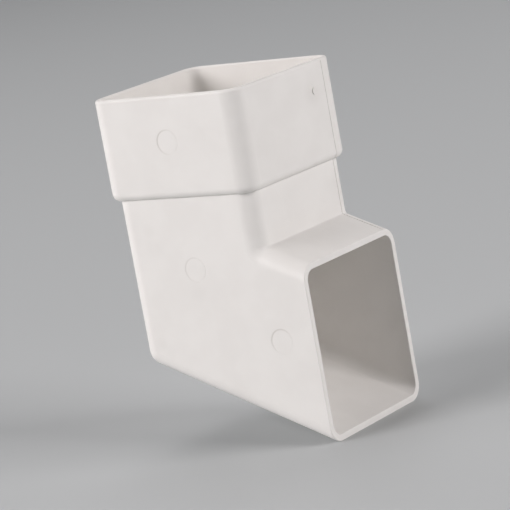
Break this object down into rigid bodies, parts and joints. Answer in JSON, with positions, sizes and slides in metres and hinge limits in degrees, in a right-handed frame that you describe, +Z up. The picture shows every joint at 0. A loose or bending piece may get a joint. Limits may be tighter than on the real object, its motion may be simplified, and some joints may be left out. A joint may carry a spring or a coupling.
{
  "type": "downspout shoe",
  "caption": "Square downpipe shoe: a socket that takes the pipe's end above a duct that folds forward into a raked, open spout.",
  "frame": {"origin": "middle of the pipe stop, at the foot of the socket", "axes": "+Z up the downpipe's axis, +X out through the spout's mouth, Y across the shoe"},
  "size_m": [0.0849, 0.0696, 0.1399],
  "materials": {
    "white_upvc": "smooth moulded white uPVC, semi-gloss"
  },
  "bodies": {
    "root": {"shoe_body": "white_upvc"}
  },
  "joints": []
}
